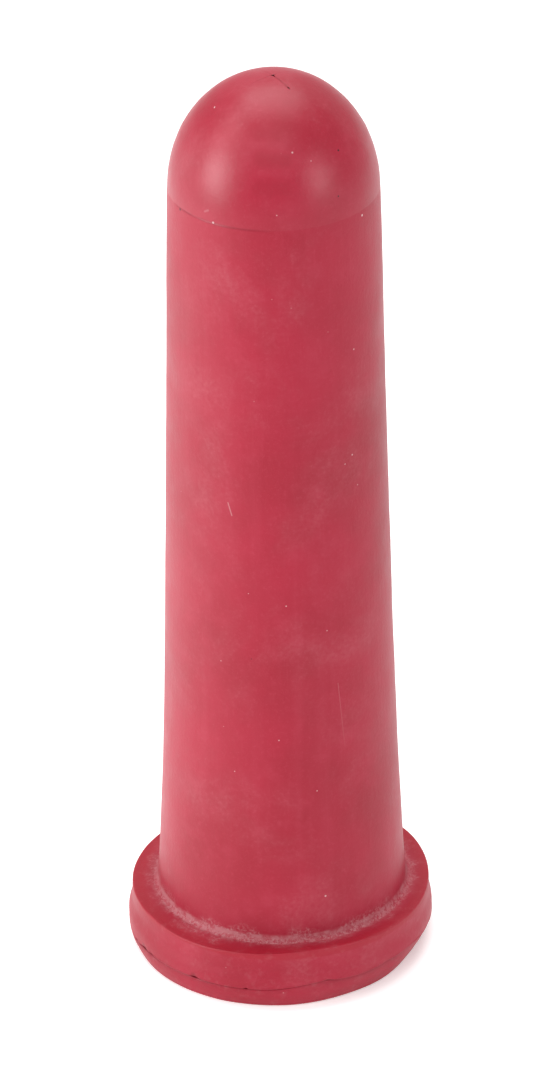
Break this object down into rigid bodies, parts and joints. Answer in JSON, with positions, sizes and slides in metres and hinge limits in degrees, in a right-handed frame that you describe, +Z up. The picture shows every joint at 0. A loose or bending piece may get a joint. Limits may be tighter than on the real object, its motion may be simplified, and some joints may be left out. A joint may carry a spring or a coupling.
{
  "type": "pipette filler bulb",
  "caption": "Hollow flanged rubber teat with a domed nose and a cross-cut tip: flexing root, stretching sleeve and four lips that open outwards.",
  "frame": {"origin": "centre of the underside of the flange, on the teat's axis", "axes": "+Z up the teat's axis towards the crown; +X to the viewer's right and -Y towards the viewer in the front view"},
  "size_m": [0.0358, 0.0358, 0.11],
  "materials": {
    "flange_rubber": "moulded natural rubber, deep red, satin, with pale bloom in the corner",
    "sleeve_rubber": "moulded natural rubber, red, soft satin with a faint pale bloom",
    "nose_rubber": "moulded natural rubber, red, smoother satin"
  },
  "bodies": {
    "base": {"base_bead": "flange_rubber", "base_flange": "flange_rubber"},
    "sleeve": {"flex_root": "sleeve_rubber", "sleeve_wall": "sleeve_rubber"},
    "neck": {"flex_neck": "sleeve_rubber"},
    "nose": {"nose_cap": "nose_rubber"},
    "lip_1": {"lip_1": "nose_rubber"},
    "lip_2": {"lip_2": "nose_rubber"},
    "lip_3": {"lip_3": "nose_rubber"},
    "lip_4": {"lip_4": "nose_rubber"}
  },
  "joints": [
    {"name": "bend_root", "type": "hinge", "parent": "base", "child": "sleeve", "pos_m": [0, 0, 0.02215], "axis": [0, 1, 0], "range_deg": [-25, 25], "stiffness_Nm_per_rad": 0.1, "deforming": ["flex_root"]},
    {"name": "stretch", "type": "slide", "parent": "sleeve", "child": "neck", "axis": [0, 0, 1], "range_m": [0, 0.008], "stiffness_N_per_m": 3000, "deforming": ["sleeve_wall"]},
    {"name": "bend_neck", "type": "hinge", "parent": "neck", "child": "nose", "pos_m": [0, 0, 0.08345], "axis": [1, 0, 0], "range_deg": [-20, 20], "stiffness_Nm_per_rad": 0.1, "deforming": ["flex_neck"]},
    {"name": "lip_fold_1", "type": "hinge", "parent": "nose", "child": "lip_1", "pos_m": [0.00244, -0.00043, 0.10971], "axis": [0.1736, 0.9848, 0], "range_deg": [0, 35], "stiffness_Nm_per_rad": 0.001},
    {"name": "lip_fold_2", "type": "hinge", "parent": "nose", "child": "lip_2", "pos_m": [0.00043, 0.00244, 0.10971], "axis": [-0.9848, 0.1736, 0], "range_deg": [0, 35], "stiffness_Nm_per_rad": 0.001},
    {"name": "lip_fold_3", "type": "hinge", "parent": "nose", "child": "lip_3", "pos_m": [-0.00244, 0.00043, 0.10971], "axis": [-0.1736, -0.9848, 0], "range_deg": [0, 35], "stiffness_Nm_per_rad": 0.001},
    {"name": "lip_fold_4", "type": "hinge", "parent": "nose", "child": "lip_4", "pos_m": [-0.00043, -0.00244, 0.10971], "axis": [0.9848, -0.1736, 0], "range_deg": [0, 35], "stiffness_Nm_per_rad": 0.001}
  ],
  "couplings": [
    {"joint": "lip_fold_2", "follows": "lip_fold_1", "ratio": 1},
    {"joint": "lip_fold_3", "follows": "lip_fold_1", "ratio": 1},
    {"joint": "lip_fold_4", "follows": "lip_fold_1", "ratio": 1}
  ]
}
